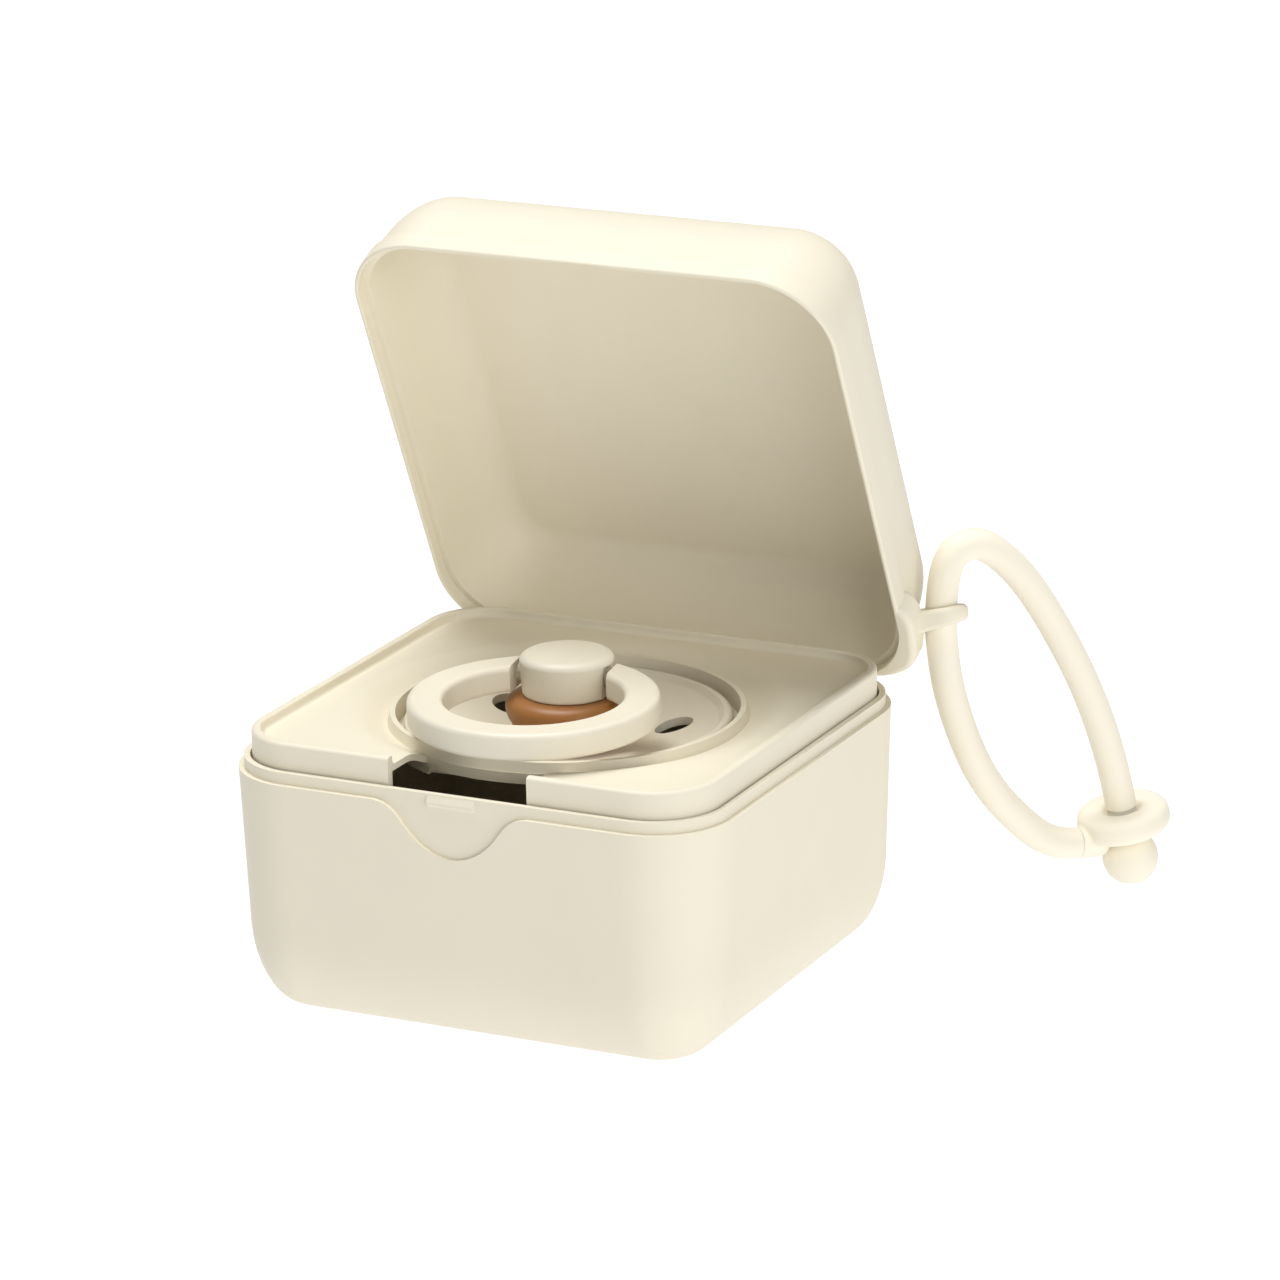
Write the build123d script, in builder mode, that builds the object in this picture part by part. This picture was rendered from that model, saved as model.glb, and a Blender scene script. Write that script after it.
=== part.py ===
from build123d import *
from math import cos, radians, sin, tan
import os

# Travel case for a pacifier, which also takes boiling water for sterilizing.
# Frame: millimetres, origin on the floor under the middle of the body.
# +X is the right side, -Y the front with the thumb dip, +Z up.
# The lid is modelled closed and then turned open about the hinge pin.

# ---- driving dimensions -------------------------------------------------
case_width = 72.0
case_depth = 70.3
corner_radius = 11.0
rim_height = 33.3  # shoulder of the body, where the lid's edge rests
body_draft = 2.2  # degrees
body_edge_inset = 5.9  # size of the rounded lower edge, sideways
body_edge_height = 11.6  # and upwards
body_wall = 2.6
body_floor = 2.0

lip_step = 0.75  # how far the lip stands in from the outer shell
lip_height = 1.6
lip_thickness = 0.85
ledge_depth = 3.9  # tray's ledge below the top of the lip

dip_half_width = 11.2  # thumb dip, at the shoulder
dip_waist = 6.4  # half width lower down
dip_depth = 7.1
dip_waist_depth = 3.7
bump_width = 6.8
bump_height = 1.7
bump_proud = 0.42
bump_top_gap = 0.15  # its slope ends this far below the top of the lip
bump_face = 0.4  # height of its steep lower part
bump_clearance = 0.1
hinge_groove_radius = 1.05  # lets the lid's rear edge turn past the lip
hinge_groove_half = 29.5

lid_height = 17.3
lid_draft = 2.2
lid_edge_inset = 5.6
lid_edge_height = 10.4
lid_wall = 1.25
lid_roof = 1.6
lid_bead = 0.35
lid_bead_height = 2.9
lid_rim_edge = 0.35  # rounding of its outer lower edge
lid_rim_bevel = 0.15
lid_open_angle = 65.2
lip_clearance = 0.12

hinge_rise = 0.55  # hinge axis above the shoulder
knuckle_radius = 1.7
knuckle_gap = 0.3
pin_radius = 0.75
pin_clearance = 0.06
pin_chamfer = 0.2
lid_knuckle_length = 19.0
body_knuckle_length = 8.0

tray_gap = 0.3  # tray to lip
tray_wall = 1.2
tray_edge = 0.55  # rounding of its rim
tray_rise = 3.7  # top of its rim above the lip
tray_rim_width = 1.3
tray_recess = 1.3
tray_floor = 0.9
tray_cove = 0.7
dish_radius = 30.0  # the tray's floor slopes down inside this radius
dish_depth = 1.75  # to the foot of the well's ring
well_radius = 23.4
well_ring_wall = 0.7
well_ring_edge = 0.3
well_ring_rise = 1.45  # above its foot
well_ring_draft = 0.4
well_foot_thickness = 1.5
well_seat_width = 3.7
well_seat_thickness = 1.2
notch_width = 20.4  # finger notch at the front
notch_x = 0.4
notch_land = 0.1  # left in front of the ring
notch_back = 21.0  # under the ring the notch reaches in to here

shield_radius = 22.3
shield_rim_width = 1.9
shield_rim_rise = 0.7
shield_edge = 0.65
shield_thickness = 1.2
shield_sunk = 1.05  # its rim below the top of the well's ring
shield_dish = 3.7  # its flat round the hub below its rim
shield_half_rise = 1.4  # the dish at the vent holes, above its flat
shield_hub_bore = 6.3
shield_flat_radius = 9.2
vent_radius = 2.65
vent_circle = 14.3
vent_first_angle = 30.0

teat_collar_radius = 8.5
teat_collar_height = 5.25  # its widest, above the shield's flat
teat_collar_foot = 6.9  # radius on the shield
teat_collar_brow = 7.9  # radius of its shoulder under the knob and of its lower side
teat_collar_shoulder = 0.45  # shoulder below the knob's underside
teat_collar_tuck = 2.05  # lower side below its widest
teat_neck = 4.7
teat_bulb = 7.4
teat_length = 26.0
teat_neck_height = 20.0  # its narrowest, above the tip
teat_wall = 1.3
teat_fit = 0.05  # neck in the shield's bore

button_rise = 6.75  # underside of the knob above the shield's flat
button_height = 5.75
button_cap_radius = 6.45
button_foot_radius = 6.2
button_foot_edge = 0.4
button_cap_edge = 1.1  # rounding of its upper edge, upwards
button_cap_brim = 1.3  # and sideways
button_crown = 0.1
button_stem = 4.4
button_stem_length = 7.0
button_channel_depth = 5.6  # flat beside each arm, from the middle
button_channel_half = 2.5
button_channel_rise = 2.2  # above the bar
button_channel_reach = 2.0  # past the flat, clear of the knob's side

handle_turn = 8.0  # pacifier turned this far in its well, degrees
handle_bar_rise = 2.45  # bar above the underside of the knob
handle_radius = 14.5
handle_offset = 14.0
handle_width = 4.8
handle_thickness = 3.8
handle_edge = 0.8
handle_tilt = 0.9
handle_arm_x = 6.85  # arms stand this far from the middle
handle_bar_radius = 1.35
handle_bar_clearance = 0.1

strap_diameter = 4.4
strap_heading = 50.6  # degrees from the right side towards the back
strap_lean = 2.0  # degrees from upright where it passes through the eye
eye_hole_radius = 2.45
eye_outer_radius = 3.75
eye_thickness = 2.4
eye_web = 9.0  # width of the web where it meets the lid's wall
eye_edge = 0.9
eye_top_slope = (-0.26, 0.17, 1.0)  # normal of the eye's upper side
eye_under_slope = (-0.41, 0.17, 1.0)
eye_reach = 3.0  # hole's middle out from the side of the case
eye_behind_hinge = 1.65
eye_above_hinge = 10.05
lug_height = 4.4  # thickening round the lid's corner beside the eye
lug_edge = 0.9
lug_inset = 0.5  # its ends run into the lid's wall
lug_rear_angle = 70.0  # from the right side, about the corner's centre
lug_bulge = (  # angle about the corner's centre, and how far it stands out of the outline
    (61.0, 0.45),
    (52.0, 1.15),
    (43.0, 1.75),
    (34.5, 2.2),
    (25.0, 2.15),
    (15.0, 1.75),
    (3.0, 1.6),
)
lug_run = 3.5  # along the side, in front of the corner
lug_half_run = (1.2, 1.8)  # how far out it still is, part of the way along

disc_radius = 6.6
disc_thickness = 3.8
disc_edge = 1.6
disc_lean = 11.0
disc_hole_radius = 2.2
stub_start = (21.2, 7.35)  # in the strap's plane, where the lower leg ends
stub_end = (24.2, 7.0)
ball_radius = 3.95
ball_reach = 29.8  # along the strap's heading, from the eye
ball_to_disc = 6.0
ball_neck_radius = 2.05

# ---- sizes that follow --------------------------------------------------
half_width = case_width / 2
half_depth = case_depth / 2
lip_top = rim_height + lip_height
ledge_height = lip_top - ledge_depth
lip_inner_inset = lip_step + lip_thickness
hinge_y = half_depth
hinge_z = rim_height + hinge_rise
lid_top = rim_height + lid_height
eye_x = half_width + eye_reach
eye_y = hinge_y + eye_behind_hinge
eye_z = hinge_z + eye_above_hinge
tray_inset = lip_inner_inset + tray_gap
tray_top = lip_top + tray_rise
tray_floor_top = tray_top - tray_recess
well_foot = tray_floor_top - dish_depth
well_ring_top = well_foot + well_ring_rise
shield_top = well_ring_top - shield_sunk
shield_middle = shield_top - shield_dish
shield_half_way = shield_middle + shield_half_rise
well_seat_top = shield_top - shield_rim_rise - shield_thickness
button_foot = shield_middle + button_rise
button_top = button_foot + button_height
overshoot = 1.0  # how far a cut runs on past its piece
well_cut = well_ring_top - well_seat_top + overshoot
blend = 0.5523  # handle length of a cubic that stands for a quarter ellipse


def outline_path(inset, height):
    """Closed outline of the case, drawn in by inset, from the middle of the front."""
    wide = half_width - inset
    deep = half_depth - inset
    radius = corner_radius - inset
    with BuildLine(Plane.XY.offset(height)) as path:
        side = Line((0, -deep), (wide - radius, -deep))
        runs = (2 * (deep - radius), 2 * (wide - radius), 2 * (deep - radius), wide - radius)
        for run in runs:
            bend = JernArc(side @ 1, side % 1, radius, 90)
            side = Line(bend @ 1, bend @ 1 + (bend % 1) * run)
    return path.wire()


def wall_plane():
    """Upright plane at the middle of the front: local x points outward, y up."""
    return Plane(origin=(0, -half_depth, 0), x_dir=(0, -1, 0), z_dir=(-1, 0, 0))


def rounded_slab(inset, low, high):
    """Plate with the outline of the case, drawn in by inset."""
    with BuildPart(mode=Mode.PRIVATE) as slab:
        with BuildSketch(Plane.XY.offset(low)):
            RectangleRounded(
                2 * (half_width - inset),
                2 * (half_depth - inset),
                max(corner_radius - inset, 1.0),
            )
        extrude(amount=high - low)
    return slab.part


def soft_corner(start, corner, end):
    """Quarter-ellipse-like curve from start to end, tangent to both sides of corner."""
    first = (start[0] + (corner[0] - start[0]) * blend, start[1] + (corner[1] - start[1]) * blend)
    second = (end[0] + (corner[0] - end[0]) * blend, end[1] + (corner[1] - end[1]) * blend)
    return Bezier(start, first, second, end)


# ---- case body ----------------------------------------------------------
side_lean = tan(radians(body_draft))
core_inset = body_edge_inset + rim_height * side_lean + 1.6

with BuildPart() as case_body:
    with BuildSketch(wall_plane()) as body_profile:
        with BuildLine():
            base = (-rim_height * side_lean, 0)
            foot = (base[0] - body_edge_inset, 0)
            hip = (base[0] + body_edge_height * side_lean, body_edge_height)
            inner_base = (base[0] - body_wall + body_floor * side_lean, body_floor)
            inner_foot = (inner_base[0] - body_edge_inset + 0.8, body_floor)
            inner_hip = (hip[0] - body_wall, body_edge_height)
            soft_corner(foot, base, hip)
            Polyline(
                hip,
                (0, rim_height),
                (-lip_step, rim_height),
                (-lip_step, lip_top),
                (-lip_inner_inset, lip_top),
                (-lip_inner_inset, ledge_height),
                (-body_wall, ledge_height),
                inner_hip,
            )
            soft_corner(inner_hip, inner_base, inner_foot)
            Polyline(inner_foot, (-core_inset - 0.4, body_floor), (-core_inset - 0.4, 0), foot)
        make_face()
    sweep(path=outline_path(0, 0))
    add(rounded_slab(core_inset, 0, body_floor))

    # thumb dip: the outer shell is cut back to the lip's face
    with BuildSketch(Plane.XZ.offset(half_depth - lip_step)):
        with BuildLine():
            shoulder = (dip_half_width, rim_height)
            waist = (dip_waist, rim_height - dip_waist_depth)
            bottom = (0, rim_height - dip_depth)
            half = Spline(
                shoulder, waist, bottom, tangents=((-1, -0.12), (-1, 0)), tangent_scalars=(1.4, 1.0)
            )
            mirror(half, about=Plane.YZ)
            Line(shoulder, (-dip_half_width, rim_height))
        make_face()
    extrude(amount=5, mode=Mode.SUBTRACT)
    # snap bump on the front of the lip
    with BuildSketch(Plane.YZ.offset(-bump_width / 2)):
        with BuildLine():
            face_y = -half_depth + lip_step
            high_z = lip_top - bump_top_gap
            low_z = high_z - bump_height
            Polyline(
                (face_y + bump_proud, low_z),
                (face_y, low_z),
                (face_y - bump_proud, low_z + bump_proud),
                (face_y - bump_proud, low_z + bump_proud + bump_face),
                (face_y, high_z),
                (face_y + bump_proud, high_z),
                close=True,
            )
        make_face()
    extrude(amount=bump_width)


def hinge_band(radius, low_x, high_x):
    """Cylinder about the hinge axis from low_x to high_x."""
    with BuildPart(mode=Mode.PRIVATE) as band:
        with BuildSketch(Plane.YZ.offset(low_x)):
            with Locations((hinge_y, hinge_z)):
                Circle(radius)
        extrude(amount=high_x - low_x)
    return band.part


lid_knuckle_half = lid_knuckle_length / 2
body_knuckle_near = lid_knuckle_half + knuckle_gap
body_knuckle_far = body_knuckle_near + body_knuckle_length
relief_radius = knuckle_radius + knuckle_gap

with BuildPart() as case_body_hinged:
    add(case_body.part)
    add(
        hinge_band(relief_radius, -body_knuckle_near, body_knuckle_near), mode=Mode.SUBTRACT
    )
    add(
        hinge_band(hinge_groove_radius, -hinge_groove_half, hinge_groove_half), mode=Mode.SUBTRACT
    )
    for side in (-1, 1):
        ends = sorted((side * body_knuckle_near, side * body_knuckle_far))
        add(hinge_band(knuckle_radius, *ends))
    add(
        hinge_band(pin_radius + pin_clearance, -body_knuckle_far, body_knuckle_far),
        mode=Mode.SUBTRACT,
    )
case_body_hinged.part.label = "case_body"

# ---- lid, drawn closed --------------------------------------------------
lid_lean = tan(radians(lid_draft))
lid_core_inset = lid_edge_inset + lid_height * lid_lean + 1.8
rabbet_inset = lip_step - lip_clearance
rabbet_top = lip_top + lip_clearance

with BuildPart() as lid_shell:
    with BuildSketch(wall_plane()):
        with BuildLine():
            rim_side = (0, rim_height + lid_rim_edge)
            rim_under = (-lid_rim_edge, rim_height)
            bead_top = (0, rim_height + lid_bead_height)
            neck = (-lid_bead, rim_height + lid_bead_height + 0.3)
            crown_side = (-lid_bead - lid_height * lid_lean, lid_top)
            brow = (crown_side[0] + lid_edge_height * lid_lean, lid_top - lid_edge_height)
            crown = (crown_side[0] - lid_edge_inset, lid_top)
            inner_side = (crown_side[0] - lid_wall, lid_top - lid_roof)
            inner_crown = (inner_side[0] - lid_edge_inset + 0.8, lid_top - lid_roof)
            inner_brow = (brow[0] - lid_wall, brow[1])
            inner_rim = (-lid_bead - lid_wall, rabbet_top)
            Polyline(
                inner_brow,
                inner_rim,
                (-rabbet_inset, rabbet_top),
                (-rabbet_inset, rim_height + lid_rim_bevel),
                (-rabbet_inset + lid_rim_bevel, rim_height),
                rim_under,
            )
            soft_corner(rim_under, (0, rim_height), rim_side)
            Polyline(rim_side, bead_top, neck, brow)
            soft_corner(brow, crown_side, crown)
            Polyline(
                crown,
                (-lid_core_inset - 0.4, lid_top),
                (-lid_core_inset - 0.4, lid_top - lid_roof),
                inner_crown,
            )
            soft_corner(inner_crown, inner_side, inner_brow)
        make_face()
    sweep(path=outline_path(0, 0))
    add(rounded_slab(lid_core_inset, lid_top - lid_roof, lid_top))


def opened(shape):
    """The shape turned about the hinge pin to the open pose."""
    return shape.rotate(Axis((0, hinge_y, hinge_z), (1, 0, 0)), -lid_open_angle)


# lug: the rim is thicker round the rear right corner, next to the strap's eye
arc_middle = (half_width - corner_radius, half_depth - corner_radius)


def round_corner(angle, outward):
    """Point at an angle about the rear right corner's centre, outward of the outline."""
    reach = corner_radius + outward
    return (
        arc_middle[0] + reach * cos(radians(angle)),
        arc_middle[1] + reach * sin(radians(angle)),
    )


with BuildPart() as lug:
    with BuildSketch(Plane.XY.offset(rim_height)):
        with BuildLine():
            lug_rear = round_corner(lug_rear_angle, -lug_inset)
            lug_front = (half_width - lug_inset, arc_middle[1] - lug_run)
            lug_side = (half_width - lug_inset, arc_middle[1])
            Spline(
                lug_rear,
                *[round_corner(angle, outward) for angle, outward in lug_bulge],
                (half_width + lug_half_run[0], arc_middle[1] - lug_half_run[1]),
                lug_front,
            )
            Line(lug_front, lug_side)
            ThreePointArc(lug_side, round_corner(lug_rear_angle / 2, -lug_inset), lug_rear)
        make_face()
    extrude(amount=lug_height)
    fillet(lug.faces().filter_by(Axis.Z).edges().filter_by(GeomType.BSPLINE), lug_edge)
    add(rounded_slab(rabbet_inset, rim_height - overshoot, rabbet_top), mode=Mode.SUBTRACT)

with BuildPart() as lid:
    add(lid_shell.part)
    add(lug.part)
    for side in (-1, 1):
        ends = sorted((side * (lid_knuckle_half), side * (body_knuckle_far + knuckle_gap)))
        add(hinge_band(relief_radius, *ends), mode=Mode.SUBTRACT)
    add(hinge_band(knuckle_radius, -lid_knuckle_half, lid_knuckle_half))
    add(
        hinge_band(pin_radius + pin_clearance, -body_knuckle_far, body_knuckle_far),
        mode=Mode.SUBTRACT,
    )
    # slot in the front edge that lets the snap bump in
    with Locations((0, -half_depth + lip_step, rim_height - 1)):
        Box(
            bump_width + 2 * bump_clearance,
            2 * (bump_proud + bump_clearance),
            rabbet_top - rim_height + 1,
            align=(Align.CENTER, Align.CENTER, Align.MIN),
            mode=Mode.SUBTRACT,
        )
lid_open = opened(lid.part)

# strap eye, drawn with the lid open: a wedge of a tab round a hole along the strap
heading = radians(strap_heading)
strap_rise = Vector(
    sin(radians(strap_lean)) * cos(heading),
    sin(radians(strap_lean)) * sin(heading),
    cos(radians(strap_lean)),
)
eye_middle = Vector(eye_x, eye_y, eye_z)
eye_plane = Plane(origin=eye_middle, x_dir=(1, 0, 0), z_dir=strap_rise)
eye_blank = 4 * eye_thickness

with BuildPart() as eye:
    with BuildSketch(eye_plane.offset(-eye_blank / 2)):
        Circle(eye_outer_radius)
        with Locations((half_width - eye_x, 0)):
            Rectangle(2.4, eye_web)
        make_hull()
    extrude(amount=eye_blank)
    for slope, height in ((eye_top_slope, eye_thickness / 2), (eye_under_slope, -eye_thickness / 2)):
        facing = Vector(*slope).normalized()
        tip = eye_middle + Vector(eye_outer_radius, 0, 0) + Vector(0, 0, height)
        tip = tip - Vector(0, 0, eye_top_slope[0] * eye_outer_radius)
        split(bisect_by=Plane(origin=tip, z_dir=facing), keep=Keep.BOTTOM if height > 0 else Keep.TOP)
    end_edges = eye.faces().filter_by(GeomType.CYLINDER).edges().filter_by(
        lambda edge: edge.geom_type != GeomType.LINE
    )
    fillet(end_edges, eye_edge)
    add(opened(rounded_slab(rabbet_inset, rim_height - 1, rabbet_top)), mode=Mode.SUBTRACT)

with BuildPart() as lid_with_eye:
    add(lid_open)
    add(eye.part)
    with BuildSketch(eye_plane.offset(-eye_blank / 2)):
        Circle(eye_hole_radius)
    extrude(amount=eye_blank, mode=Mode.SUBTRACT)
lid_with_eye.part.label = "lid"

# ---- hinge pin ----------------------------------------------------------
with BuildPart() as hinge_pin:
    with BuildSketch(Plane.YZ.offset(-body_knuckle_far)):
        with Locations((hinge_y, hinge_z)):
            Circle(pin_radius)
    extrude(amount=2 * body_knuckle_far)
    chamfer(hinge_pin.edges().filter_by(GeomType.CIRCLE), pin_chamfer)
hinge_pin.part.label = "hinge_pin"

# ---- tray ---------------------------------------------------------------
well_outer_radius = well_radius + well_ring_wall
well_base_radius = well_outer_radius + well_ring_draft
well_bottom = well_seat_top - well_seat_thickness
well_foot_low = well_foot - well_foot_thickness
upward = (Align.CENTER, Align.CENTER, Align.MIN)
backward = (Align.CENTER, Align.MIN, Align.MIN)

with BuildPart() as notch_block:
    with Locations((notch_x, -half_depth, ledge_height - overshoot)):
        notch_height = tray_top - ledge_height + 2 * overshoot
        Box(notch_width, half_depth - notch_back, notch_height, align=backward)
    with Locations((0, 0, well_foot_low)):
        Cylinder(well_base_radius + notch_land, notch_height, align=upward, mode=Mode.SUBTRACT)



def dish_at(height):
    """Turned block whose underside is the dish, meeting the tray's floor without a crease."""
    with BuildPart(mode=Mode.PRIVATE) as block:
        with BuildSketch(Plane.XZ):
            with BuildLine():
                foot = (well_base_radius, height)
                edge = (dish_radius, height + dish_depth)
                Line((0, height), foot)
                Spline(foot, edge, tangents=((1, 0.3), (1, 0)))
                Polyline(edge, (0, height + dish_depth), (0, height))
            make_face()
        revolve(axis=Axis.Z)
    return block.part


with BuildPart() as tray:
    add(rounded_slab(tray_inset, ledge_height, tray_top))
    fillet(tray.faces().sort_by(Axis.Z)[-1].outer_wire().edges(), tray_edge)
    add(
        rounded_slab(tray_inset + tray_rim_width, tray_floor_top, tray_top + overshoot),
        mode=Mode.SUBTRACT,
    )
    fillet(tray.faces().filter_by(Axis.Z).sort_by(SortBy.AREA)[-2].outer_wire().edges(), tray_cove)
    add(
        rounded_slab(
            tray_inset + tray_wall, ledge_height - overshoot, tray_floor_top - tray_floor
        ),
        mode=Mode.SUBTRACT,
    )
    add(dish_at(well_foot - tray_floor))
    add(dish_at(well_foot), mode=Mode.SUBTRACT)
    with Locations((0, 0, well_bottom)):
        Cylinder(well_outer_radius, well_ring_top - well_bottom, align=upward)
    with Locations((0, 0, well_foot_low)):
        Cylinder(well_base_radius, well_foot - well_foot_low, align=upward)
    with Locations((0, 0, well_foot)):
        Cone(well_base_radius, well_outer_radius, well_ring_rise, align=upward)
    with Locations((0, 0, well_seat_top)):
        Cylinder(well_radius, well_cut, align=upward, mode=Mode.SUBTRACT)
    with Locations((0, 0, well_bottom - overshoot)):
        Cylinder(well_radius - well_seat_width, 2 * well_cut, align=upward, mode=Mode.SUBTRACT)
    fillet(tray.edges().filter_by(GeomType.CIRCLE).group_by(Axis.Z)[-1], well_ring_edge)
    add(notch_block.part, mode=Mode.SUBTRACT)
tray.part.label = "tray"

# ---- pacifier -----------------------------------------------------------
turn = radians(handle_turn)
pacifier_right = Vector(cos(turn), sin(turn), 0)
pacifier_back = Vector(-sin(turn), cos(turn), 0)
pivot = Vector(0, 0, button_foot + handle_bar_rise)
pacifier_section = Plane(origin=(0, 0, 0), x_dir=pacifier_right, z_dir=-pacifier_back)

with BuildPart() as shield:
    with BuildSketch(pacifier_section):
        with BuildLine():
            rim_foot = shield_radius - shield_rim_width
            seat = shield_top - shield_rim_rise - shield_thickness
            rim_side = (shield_radius, shield_top - shield_edge)
            rim_outer = (shield_radius - shield_edge, shield_top)
            rim_inner = (rim_foot + shield_rim_rise, shield_top)
            dish_edge = (rim_foot, shield_top - shield_rim_rise)
            dish_low = (shield_flat_radius, shield_middle)
            under_low = (shield_flat_radius, shield_middle - shield_thickness)
            under_edge = (rim_foot - 0.8, seat)
            RadiusArc(rim_side, rim_outer, -shield_edge)
            Polyline(rim_outer, rim_inner, dish_edge)
            ThreePointArc(dish_edge, (vent_circle, shield_half_way), dish_low)
            Polyline(
                dish_low,
                (shield_hub_bore, shield_middle),
                (shield_hub_bore, under_low[1]),
                under_low,
            )
            ThreePointArc(under_low, (vent_circle, shield_half_way - shield_thickness), under_edge)
            Polyline(under_edge, (shield_radius - 0.4, seat), (shield_radius, seat + 0.4), rim_side)
        make_face()
    revolve(axis=Axis.Z)
    with BuildSketch(Plane.XY.offset(shield_middle - shield_thickness)):
        with PolarLocations(vent_circle, 3, start_angle=vent_first_angle):
            Circle(vent_radius)
    extrude(amount=shield_dish + shield_thickness, mode=Mode.SUBTRACT)
shield.part.label = "pacifier_shield"

teat_tip = shield_middle - teat_length
teat_bulb_height = teat_tip + teat_bulb
stem_end = button_foot - button_stem_length

with BuildPart() as teat:
    with BuildSketch(pacifier_section):
        with BuildLine():
            collar_top = (button_foot_radius, button_foot)
            collar_wide = shield_middle + teat_collar_height
            collar_foot = (teat_collar_foot, shield_middle)
            neck = shield_hub_bore - teat_fit
            neck_start = (neck, shield_middle - shield_thickness - 0.3)
            tip = (0, teat_tip)
            Line((button_stem, button_foot), collar_top)
            Spline(
                collar_top,
                (teat_collar_brow, button_foot - teat_collar_shoulder),
                (teat_collar_radius, collar_wide),
                (teat_collar_brow, collar_wide - teat_collar_tuck),
                collar_foot,
                tangents=((1, 0), (-0.15, -1)),
            )
            Polyline(collar_foot, (neck, shield_middle), neck_start)
            Spline(
                neck_start,
                (teat_neck, teat_tip + teat_neck_height),
                (teat_bulb, teat_bulb_height),
                tip,
                tangents=((-0.2, -1), (-1, 0)),
            )
            Line(tip, (0, teat_tip + teat_wall))
            Spline(
                (0, teat_tip + teat_wall),
                (teat_bulb - teat_wall, teat_bulb_height),
                (teat_neck - teat_wall, teat_tip + teat_neck_height),
                (button_stem, stem_end - 1.2),
                tangents=((1, 0), (0.15, 1)),
            )
            Line((button_stem, stem_end - 1.2), (button_stem, button_foot))
        make_face()
    revolve(axis=Axis.Z)
teat.part.label = "pacifier_teat"

with BuildPart() as button:
    with BuildSketch(pacifier_section):
        with BuildLine():
            foot_under = (button_foot_radius - button_foot_edge, button_foot)
            foot_side = (button_foot_radius, button_foot + button_foot_edge)
            cap_side = (button_cap_radius, button_top - button_cap_edge)
            crown_edge = (button_cap_radius - button_cap_brim, button_top - button_crown)
            Polyline(
                (0, stem_end), (button_stem, stem_end), (button_stem, button_foot), foot_under
            )
            soft_corner(foot_under, (button_foot_radius, button_foot), foot_side)
            Line(foot_side, cap_side)
            soft_corner(cap_side, (button_cap_radius, button_top - button_crown), crown_edge)
            Spline(crown_edge, (0, button_top), tangents=((-1, 0.05), (-1, 0)))
            Line((0, button_top), (0, stem_end))
        make_face()
    revolve(axis=Axis.Z)
    with BuildSketch(
        Plane(
            origin=pivot - pacifier_right * button_cap_radius * 2,
            z_dir=pacifier_right,
        )
    ):
        Circle(handle_bar_radius + handle_bar_clearance)
    extrude(amount=4 * button_cap_radius, mode=Mode.SUBTRACT)
    # a channel beside each arm of the handle
    channel_top = pivot.Z + button_channel_rise
    with Locations(Plane(origin=(0, 0, button_foot - overshoot), x_dir=pacifier_right)):
        far_side = -button_channel_depth - button_channel_reach
        with Locations((button_channel_depth, 0, 0), (far_side, 0, 0)):
            Box(
                button_channel_reach,
                2 * button_channel_half,
                channel_top - button_foot + overshoot,
                align=(Align.MIN, Align.CENTER, Align.MIN),
                mode=Mode.SUBTRACT,
            )
button.part.label = "pacifier_button"

# ring handle: its own plane tips down to the front about the bar
tilt = radians(handle_tilt)
ring_back = pacifier_back * cos(tilt) + Vector(0, 0, sin(tilt))
ring_up = pacifier_right.cross(ring_back)
ring_middle = pivot - ring_back * handle_offset
ring_plane = Plane(origin=ring_middle, x_dir=pacifier_right, z_dir=ring_up)
ring_section = Plane(origin=ring_middle, x_dir=pacifier_right, z_dir=-ring_back)

with BuildPart() as handle:
    with BuildSketch(ring_section):
        with Locations((handle_radius, 0)):
            RectangleRounded(handle_width, handle_thickness, handle_edge)
    revolve(axis=Axis(ring_middle, ring_up))
    with Locations(ring_plane):
        with Locations((0, handle_radius, 0)):
            Box(2 * handle_arm_x, 2 * handle_width, 2 * handle_thickness, mode=Mode.SUBTRACT)
    with BuildSketch(Plane(origin=pivot - pacifier_right * (handle_arm_x + 0.6), z_dir=pacifier_right)):
        Circle(handle_bar_radius)
    extrude(amount=2 * (handle_arm_x + 0.6))
handle.part.label = "pacifier_handle"

# ---- strap --------------------------------------------------------------
strap_plane = Plane(
    origin=(eye_x, eye_y, 0),
    x_dir=(cos(heading), sin(heading), 0),
    z_dir=(sin(heading), -cos(heading), 0),
)
strap_radius = strap_diameter / 2
lean = tan(radians(strap_lean))
disc_axis = (-sin(radians(disc_lean)), cos(radians(disc_lean)))
disc_side = (disc_axis[1], -disc_axis[0])


def along(start, direction, distance):
    """Point in the strap's plane at a distance from start."""
    return (start[0] + direction[0] * distance, start[1] + direction[1] * distance)


ball_middle = (ball_reach, ball_radius)
disc_middle = along(ball_middle, disc_axis, ball_to_disc)
disc_top = along(disc_middle, disc_axis, disc_thickness / 2 + 0.05)
in_eye = (0, eye_z)

upper_points = (
    in_eye,
    (5.5 * lean, eye_z + 5.5),
    (2.4, eye_z + 9.6),
    (7.3, eye_z + 9.5),
    (15.2, eye_z + 1.0),
    along(disc_top, disc_axis, 12.5),
    disc_top,
)
lower_points = (
    in_eye,
    (-3.3 * lean, eye_z - 3.3),
    (1.4, eye_z - 12.9),
    (6.2, 18.9),
    (13.4, 10.7),
    (18.0, 7.6),
    stub_start,
)


def bend_radii(points):
    """Radius at each inner point: the largest that suits its runs."""
    radii = []
    for index in range(1, len(points) - 1):
        before = Vector(*points[index]) - Vector(*points[index - 1])
        after = Vector(*points[index + 1]) - Vector(*points[index])
        half_turn = radians(before.get_angle(after)) / 2
        radii.append(0.45 * min(before.length, after.length) / tan(half_turn))
    return radii


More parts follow.
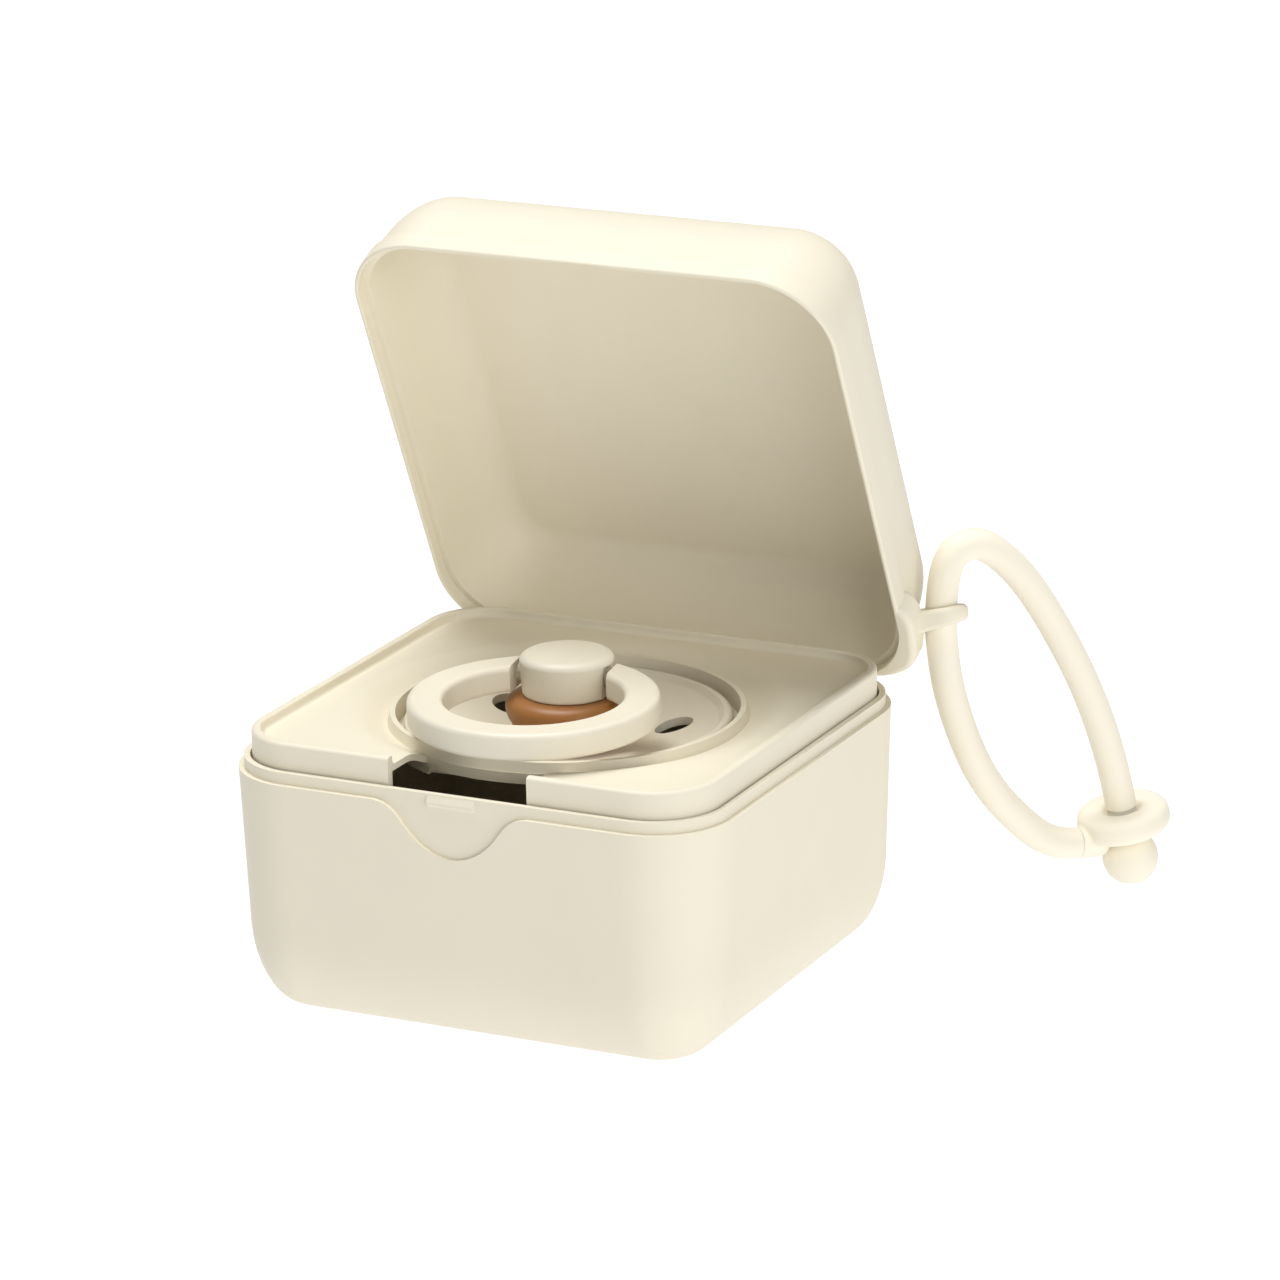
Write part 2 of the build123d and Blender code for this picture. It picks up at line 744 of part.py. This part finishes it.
def strap_leg(points):
    """Round strap along points in the strap's plane."""
    with BuildLine(strap_plane) as path:
        FilletPolyline(*points, radius=bend_radii(points))
    middle_line = path.wire()
    with BuildPart(mode=Mode.PRIVATE) as leg:
        with BuildSketch(Plane(origin=middle_line @ 0, z_dir=middle_line % 0)):
            Circle(strap_radius)
        sweep(path=middle_line)
    return leg


upper_leg = strap_leg(upper_points)
upper_leg.part.label = "strap_upper_leg"
lower_leg = strap_leg(lower_points)
lower_leg.part.label = "strap_lower_leg"

disc_plane = Plane(
    origin=strap_plane.from_local_coords(Vector(*disc_middle)),
    x_dir=strap_plane.x_dir * disc_side[0] + strap_plane.y_dir * disc_side[1],
    z_dir=strap_plane.x_dir * disc_axis[0] + strap_plane.y_dir * disc_axis[1],
)

with BuildPart() as disc:
    with BuildSketch(disc_plane.offset(-disc_thickness / 2)):
        Circle(disc_radius)
    extrude(amount=disc_thickness)
    fillet(disc.edges(), disc_edge)
    # the lower leg runs on under the disc and ends round
    stub_low = strap_plane.from_local_coords(Vector(*stub_start))
    stub_high = strap_plane.from_local_coords(Vector(*stub_end))
    with BuildSketch(Plane(origin=stub_low, z_dir=stub_high - stub_low)):
        Circle(strap_radius)
    extrude(amount=(stub_high - stub_low).length)
    with Locations(stub_high):
        Sphere(strap_radius)
    with BuildSketch(disc_plane.offset(-disc_thickness)):
        Circle(disc_hole_radius)
    extrude(amount=2 * disc_thickness, mode=Mode.SUBTRACT)
    add(lower_leg.part, mode=Mode.SUBTRACT)
disc.part.label = "strap_disc"

with BuildPart() as ball:
    with Locations(strap_plane.from_local_coords(Vector(*ball_middle))):
        Sphere(ball_radius)
    with BuildSketch(disc_plane.offset(-ball_to_disc)):
        Circle(ball_neck_radius)
    extrude(amount=ball_to_disc + disc_thickness / 2 + 0.05)
ball.part.label = "strap_ball"

# ---- one file for each piece --------------------------------------------
pieces = (
    case_body_hinged,
    lid_with_eye,
    hinge_pin,
    tray,
    shield,
    teat,
    button,
    handle,
    upper_leg,
    lower_leg,
    disc,
    ball,
)
os.makedirs("parts", exist_ok=True)
for piece in pieces:
    print(piece.part.label, len(piece.part.solids()), round(piece.part.volume))
    export_step(piece.part, f"parts/{piece.part.label}.step")
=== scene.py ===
import math

import bmesh
import bpy
from mathutils import Matrix, Vector


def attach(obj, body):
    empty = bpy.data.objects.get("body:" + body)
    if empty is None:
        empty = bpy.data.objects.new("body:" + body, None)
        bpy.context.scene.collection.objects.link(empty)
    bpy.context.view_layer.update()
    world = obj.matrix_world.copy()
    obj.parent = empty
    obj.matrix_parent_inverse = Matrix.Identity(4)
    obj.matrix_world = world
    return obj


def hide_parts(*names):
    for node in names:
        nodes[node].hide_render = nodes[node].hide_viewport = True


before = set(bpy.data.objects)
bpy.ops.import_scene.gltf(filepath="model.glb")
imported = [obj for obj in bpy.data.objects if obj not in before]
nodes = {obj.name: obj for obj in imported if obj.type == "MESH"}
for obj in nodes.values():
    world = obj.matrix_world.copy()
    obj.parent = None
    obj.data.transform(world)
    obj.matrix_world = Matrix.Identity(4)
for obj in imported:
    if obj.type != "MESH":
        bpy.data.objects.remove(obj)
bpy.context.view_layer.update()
MM = 0.001

# ---- camera ---------------------------------------------------------------
AZIMUTH = math.radians(26.375)
ELEVATION = math.radians(17.413)
ROLL = math.radians(-1.179)
FIT = 0.847  # the camera was fitted at another size of the case
AIM = Vector((0, 0, 30))  # the distances below are from here, before FIT
AIM_RIGHT = 11.683
AIM_UP = 23.35
AIM_BACK = 977.387
LENS = 171.46
SENSOR_WIDTH = 36.0
back = Vector(
    (
        math.sin(AZIMUTH) * math.cos(ELEVATION),
        -math.cos(AZIMUTH) * math.cos(ELEVATION),
        math.sin(ELEVATION),
    )
)
right = Vector((math.cos(AZIMUTH), math.sin(AZIMUTH), 0.0))
up = back.cross(right)
eye_point = (AIM + AIM_RIGHT * right + AIM_UP * up + AIM_BACK * back) * FIT * MM
cam_x = math.cos(ROLL) * right + math.sin(ROLL) * up
cam_y = math.cos(ROLL) * up - math.sin(ROLL) * right
camera = bpy.data.objects.new("camera", bpy.data.cameras.new("camera"))
camera.data.sensor_width = SENSOR_WIDTH
camera.data.lens = LENS
camera.data.clip_start = 0.05
camera.data.clip_end = 20.0
bpy.context.collection.objects.link(camera)
turned = Matrix((cam_x, cam_y, back)).transposed().to_4x4()
camera.matrix_world = Matrix.Translation(eye_point) @ turned
bpy.context.scene.camera = camera

# ---- strap: two legs from the lid's eye ------------------------------------
HEADING = math.radians(50.6)
STRAP_LEAN = math.tan(math.radians(2.0))
EYE = (39.0, 36.8, 43.9)  # middle of the lid's strap eye
DISC_LEAN = math.radians(11.0)
DISC_AXIS = (-math.sin(DISC_LEAN), math.cos(DISC_LEAN))
STRAP_RADIUS = 2.2
BALL_RADIUS = 3.95
BALL = (29.8, BALL_RADIUS)  # it stands on the floor
BALL_TO_DISC = 6.0
DISC = (BALL[0] + BALL_TO_DISC * DISC_AXIS[0], BALL[1] + BALL_TO_DISC * DISC_AXIS[1])
DISC_RADIUS = 6.6
DISC_HALF = 1.9
DISC_GAP = 0.05  # between the disc and the end of the upper leg
DISC_TOP = DISC_HALF + DISC_GAP
STUB_START = (21.2, 7.35)
STUB_END = (24.2, 7.0)


def strap_point(along, height):
    """Point of the strap's upright plane, in metres in the row frame."""
    return Vector(
        (EYE[0] + along * math.cos(HEADING), EYE[1] + along * math.sin(HEADING), height)
    ) * MM


def up_disc(distance):
    """Point on the disc's axis, in the strap's upright plane."""
    return (DISC[0] + distance * DISC_AXIS[0], DISC[1] + distance * DISC_AXIS[1])


UPPER_ROUTE = [
    (0, EYE[2]),
    (5.5 * STRAP_LEAN, 49.4),
    (2.4, 53.5),
    (7.3, 53.4),
    (15.2, 44.9),
    up_disc(DISC_TOP + 12.5),
    up_disc(DISC_TOP),
]
LOWER_ROUTE = [
    (0, EYE[2]),
    (-3.3 * STRAP_LEAN, 40.6),
    (1.4, 31.0),
    (6.2, 18.9),
    (13.4, 10.7),
    (18.0, 7.6),
    STUB_START,
]


def strap_curve(name, route):
    """Round strap on one NURBS spline whose control points are the route's points."""
    data = bpy.data.curves.new(name, "CURVE")
    data.dimensions = "3D"
    data.bevel_depth = STRAP_RADIUS * MM
    data.bevel_resolution = 12
    data.resolution_u = 24
    spline = data.splines.new("NURBS")
    spline.points.add(len(route) - 1)
    for point, (along, height) in zip(spline.points, route):
        point.co = (*strap_point(along, height), 1.0)
    spline.order_u = 3
    spline.use_endpoint_u = True
    obj = bpy.data.objects.new(name, data)
    bpy.context.collection.objects.link(obj)
    return obj


upper_leg = strap_curve("strap_upper", UPPER_ROUTE)
lower_leg = strap_curve("strap_lower", LOWER_ROUTE)

# ---- materials --------------------------------------------------------------
CLOUD_SCALE = 90.0
CLOUD_AMOUNT = 0.008  # how much lighter and darker the colour goes


def material(name, color, roughness, **shader):
    """Material with a Principled shader, its colour varied a little by procedural noise."""
    made = bpy.data.materials.new(name)
    made.use_nodes = True
    tree = made.node_tree
    bsdf = tree.nodes["Principled BSDF"]
    bsdf.inputs["Roughness"].default_value = roughness
    for socket, value in shader.items():
        bsdf.inputs[socket.replace("_", " ")].default_value = value
    vary = shade(tree, color, CLOUD_SCALE, CLOUD_AMOUNT)
    tree.links.new(vary, bsdf.inputs["Base Color"])
    return made, tree, bsdf


def noise(tree, scale, detail=2.0, rough=0.5):
    """Noise in object space; a CAD node's object space is the row frame, in metres."""
    place = tree.nodes.new("ShaderNodeTexCoord")
    found = tree.nodes.new("ShaderNodeTexNoise")
    found.inputs["Scale"].default_value = scale
    found.inputs["Detail"].default_value = detail
    found.inputs["Roughness"].default_value = rough
    tree.links.new(place.outputs["Object"], found.inputs["Vector"])
    return found.outputs["Fac"]


def shade(tree, color, scale, amount):
    """The colour, going a little darker and lighter over soft clouds."""
    ramp = tree.nodes.new("ShaderNodeValToRGB")
    ramp.color_ramp.elements[0].position = 0.3
    ramp.color_ramp.elements[1].position = 0.7
    ramp.color_ramp.elements[0].color = (*[c * (1 - amount) for c in color], 1)
    ramp.color_ramp.elements[1].color = (*[min(1.0, c * (1 + amount)) for c in color], 1)
    tree.links.new(noise(tree, scale), ramp.inputs["Fac"])
    return ramp.outputs["Color"]


def grain(tree, bsdf, scale, depth_mm, strength):
    """Fine moulded grain as a bump."""
    bump = tree.nodes.new("ShaderNodeBump")
    bump.inputs["Strength"].default_value = strength
    bump.inputs["Distance"].default_value = depth_mm * MM
    tree.links.new(noise(tree, scale, 3.0), bump.inputs["Height"])
    tree.links.new(bump.outputs["Normal"], bsdf.inputs["Normal"])


CREAM = (0.815, 0.757, 0.612)
plastic, tree, bsdf = material("cream_plastic", CREAM, 0.48, Specular_IOR_Level=0.35)
grain(tree, bsdf, 2600.0, 0.012, 0.25)
FINE_CREAM = (0.79, 0.735, 0.605)
plastic_small, tree, bsdf = material("cream_plastic_fine", FINE_CREAM, 0.42, Specular_IOR_Level=0.4)
grain(tree, bsdf, 3200.0, 0.008, 0.2)
silicone, tree, bsdf = material(
    "cream_silicone", (0.90, 0.84, 0.695), 0.6, Specular_IOR_Level=0.3, Sheen_Weight=0.15
)
grain(tree, bsdf, 1800.0, 0.01, 0.25)
latex, tree, bsdf = material("latex", (0.36, 0.15, 0.04), 0.42)
grain(tree, bsdf, 420.0, 0.03, 0.3)
steel, tree, bsdf = material("pin_steel", (0.55, 0.55, 0.56), 0.3, Metallic=1.0)
grain(tree, bsdf, 1500.0, 0.01, 0.2)


def dress(obj, made):
    """Puts one material on every slot of the object."""
    if not obj.material_slots:
        obj.data.materials.append(made)
    for place in obj.material_slots:
        place.material = made
    return obj


for name, made in {
    "case_body": plastic,
    "lid": plastic,
    "tray": plastic,
    "hinge_pin": steel,
    "pacifier_shield": plastic_small,
    "pacifier_button": plastic_small,
    "pacifier_handle": plastic_small,
}.items():
    dress(nodes[name], made)


# ---- soft pieces -------------------------------------------------------------
ON_AXIS = 1e-6  # a radius under this is a point on the axis
EASE_SHARE = 0.45  # most of a side that an eased corner may take


def frame_at(origin, axis):
    """Placing matrix whose local Z is axis and whose origin is origin."""
    z = Vector(axis).normalized()
    x = Vector((0, 1, 0)).cross(z)
    if x.length < 0.1:
        x = Vector((1, 0, 0)).cross(z)
    x.normalize()
    y = z.cross(x)
    return Matrix.Translation(origin) @ Matrix((x, y, z)).transposed().to_4x4()


def lathe(name, profile, place, steps=96):
    """Turned form from (radius, height) points in millimetres.

    The profile starts and ends on the axis, or else it is closed on itself.
    """
    mesh = bmesh.new()
    rings = []
    for radius, height in profile:
        if radius < ON_AXIS:
            rings.append([mesh.verts.new((0, 0, height * MM))])
            continue
        rings.append(
            [
                mesh.verts.new(
                    (
                        radius * MM * math.cos(2 * math.pi * i / steps),
                        radius * MM * math.sin(2 * math.pi * i / steps),
                        height * MM,
                    )
                )
                for i in range(steps)
            ]
        )
    closed = len(rings[0]) > 1
    pairs = list(zip(rings, rings[1:] + ([rings[0]] if closed else [])))
    for low, high in pairs:
        for i in range(steps):
            j = (i + 1) % steps
            corners = [
                low[i % len(low)],
                low[j % len(low)],
                high[j % len(high)],
                high[i % len(high)],
            ]
            unique = []
            for corner in corners:
                if corner not in unique:
                    unique.append(corner)
            if len(unique) > 2:
                mesh.faces.new(unique)
    bmesh.ops.recalc_face_normals(mesh, faces=mesh.faces)
    data = bpy.data.meshes.new(name)
    mesh.to_mesh(data)
    mesh.free()
    data.transform(place)
    for face in data.polygons:
        face.use_smooth = True
    obj = bpy.data.objects.new(name, data)
    bpy.context.collection.objects.link(obj)
    return obj


def rounded(points, corner=0.5, steps=5):
    """The closed profile with each corner eased by a short curve."""
    eased = []
    for i, here in enumerate(points):
        before = Vector(points[i - 1])
        here = Vector(here)
        after = Vector(points[(i + 1) % len(points)])
        back_leg = before - here
        front_leg = after - here
        a = here + back_leg * min(EASE_SHARE, corner / back_leg.length)
        b = here + front_leg * min(EASE_SHARE, corner / front_leg.length)
        for k in range(steps + 1):
            t = k / steps
            eased.append(tuple((1 - t) ** 2 * a + 2 * t * (1 - t) * here + t * t * b))
    return eased


def fused(name, parts, voxel_mm, smoothing):
    """The parts joined into one soft moulded skin."""
    bpy.ops.object.select_all(action="DESELECT")
    for part in parts:
        part.select_set(True)
    bpy.context.view_layer.objects.active = parts[0]
    bpy.ops.object.join()
    obj = bpy.context.view_layer.objects.active
    obj.name = name
    remesh = obj.modifiers.new("skin", "REMESH")
    remesh.mode = "VOXEL"
    remesh.voxel_size = voxel_mm * MM
    remesh.use_smooth_shade = True
    ease = obj.modifiers.new("ease", "SMOOTH")
    ease.factor = 0.5
    ease.iterations = smoothing
    for modifier in list(obj.modifiers):
        bpy.ops.object.modifier_apply(modifier=modifier.name)
    return obj


disc_axis = strap_point(*up_disc(1.0)) - strap_point(*DISC)
disc_place = frame_at(strap_point(*DISC), disc_axis)
DISC_HOLE = STRAP_RADIUS
DISC_EDGE = 1.7
disc_profile = rounded(
    [
        (DISC_HOLE, -DISC_HALF),
        (DISC_RADIUS, -DISC_HALF),
        (DISC_RADIUS, DISC_HALF),
        (DISC_HOLE, DISC_HALF),
    ],
    DISC_EDGE,
)
disc_ring = lathe("strap_disc_ring", disc_profile, disc_place)
stub_axis = strap_point(*STUB_END) - strap_point(*STUB_START)
stub_length = stub_axis.length / MM
dome = [
    (STRAP_RADIUS * math.cos(a), stub_length + STRAP_RADIUS * math.sin(a))
    for a in [math.radians(15 * k) for k in range(0, 6)]
]
stub_profile = [(0, 0), (STRAP_RADIUS, 0), *dome, (0, stub_length + STRAP_RADIUS)]
disc_stub = lathe("strap_disc_stub", stub_profile, frame_at(strap_point(*STUB_START), stub_axis))
strap_disc = fused("strap_disc_soft", [disc_ring, disc_stub], 0.22, 6)

NECK = 2.05
BALL_STEPS = 24
neck_top = BALL_TO_DISC + DISC_HALF + DISC_GAP
ball_profile = [(0, -BALL_RADIUS)]
meet = math.acos(NECK / BALL_RADIUS)
for k in range(1, BALL_STEPS + 1):
    a = -math.pi / 2 + k * (meet + math.pi / 2) / BALL_STEPS
    ball_profile.append((BALL_RADIUS * math.cos(a), BALL_RADIUS * math.sin(a)))
ball_profile += [(NECK, neck_top), (0, neck_top)]
strap_ball = lathe("strap_ball_soft", ball_profile, frame_at(strap_point(*BALL), disc_axis))
for piece, node in (
    (upper_leg, "strap_upper_leg"),
    (lower_leg, "strap_lower_leg"),
    (strap_disc, "strap_disc"),
    (strap_ball, "strap_ball"),
):
    dress(piece, silicone)
    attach(piece, "strap")
    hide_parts(node)

# ---- teat ---------------------------------------------------------------------
SHIELD = 32.25  # height of the shield's flat, where the collar stands
collar = [
    (4.4, 6.75), (6.2, 6.75), (7.1, 6.66), (7.7, 6.42), (8.15, 6.05), (8.42, 5.6),
    (8.5, 5.1), (8.44, 4.4), (8.2, 3.7), (7.85, 3.05), (7.5, 2.3), (7.2, 1.3), (6.92, 0),
]
neck_outer = [
    (6.25, 0), (6.25, -2.2), (6.0, -3.2), (5.4, -4.4), (4.95, -5.6), (4.7, -6.8),
    (4.72, -8.1), (4.95, -9.4), (5.4, -11.2),
]
bulb_outer = [
    (6.0, -13.1), (6.65, -15.2), (7.15, -17.1), (7.4, -18.9), (7.3, -20.8), (6.85, -22.5),
    (6.0, -24.1), (4.7, -25.1), (3.0, -25.76), (1.4, -25.97), (0, -26.0),
]
inside = [
    (0, -24.7), (2.5, -24.5), (4.3, -23.6), (5.5, -21.9), (6.05, -19.6), (5.9, -17.1),
    (5.2, -14.6), (4.3, -11.9), (3.65, -9.4), (3.4, -7.1), (3.6, -4.8), (4.1, -2.7),
    (4.4, -1.7),
]
teat_profile = [*inside, *collar, *neck_outer, *bulb_outer]
TEAT_STEPS = 128
teat = lathe("teat_soft", teat_profile, Matrix.Translation((0, 0, SHIELD * MM)), TEAT_STEPS)
dress(teat, latex)
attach(teat, "pacifier")
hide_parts("pacifier_teat")

# ---- floor, light and world -----------------------------------------------------
white, tree, bsdf = material("floor_white", (0.18, 0.18, 0.18), 0.8, Specular_IOR_Level=0.1)
bsdf.inputs["Emission Color"].default_value = (1, 1, 1, 1)
bsdf.inputs["Emission Strength"].default_value = 0.93
bpy.ops.mesh.primitive_plane_add(size=8.0, location=(0, 0, -0.00002))
floor = bpy.context.object
floor.name = "floor"
dress(floor, white)


def softbox(name, place, target, size, watts):
    light = bpy.data.lights.new(name, "AREA")
    light.shape = "RECTANGLE"
    light.size = size[0]
    light.size_y = size[1]
    light.energy = watts
    obj = bpy.data.objects.new(name, light)
    bpy.context.collection.objects.link(obj)
    obj.location = place
    obj.rotation_euler = (Vector(place) - Vector(target)).to_track_quat("Z", "Y").to_euler()
    return obj


softbox("key", (-0.22, 0.05, 1.10), (0, 0, 0.03), (0.6, 0.6), 11.5)
softbox("fill", (0.82, -0.52, 0.25), (0, 0, 0.03), (0.8, 0.8), 5.8)

world = bpy.data.worlds.new("studio")
bpy.context.scene.world = world
world.use_nodes = True
world.node_tree.nodes["Background"].inputs["Color"].default_value = (1, 1, 1, 1)
world.node_tree.nodes["Background"].inputs["Strength"].default_value = 0.21

bpy.context.scene.view_settings.view_transform = "Standard"
bpy.context.scene.view_settings.look = "None"
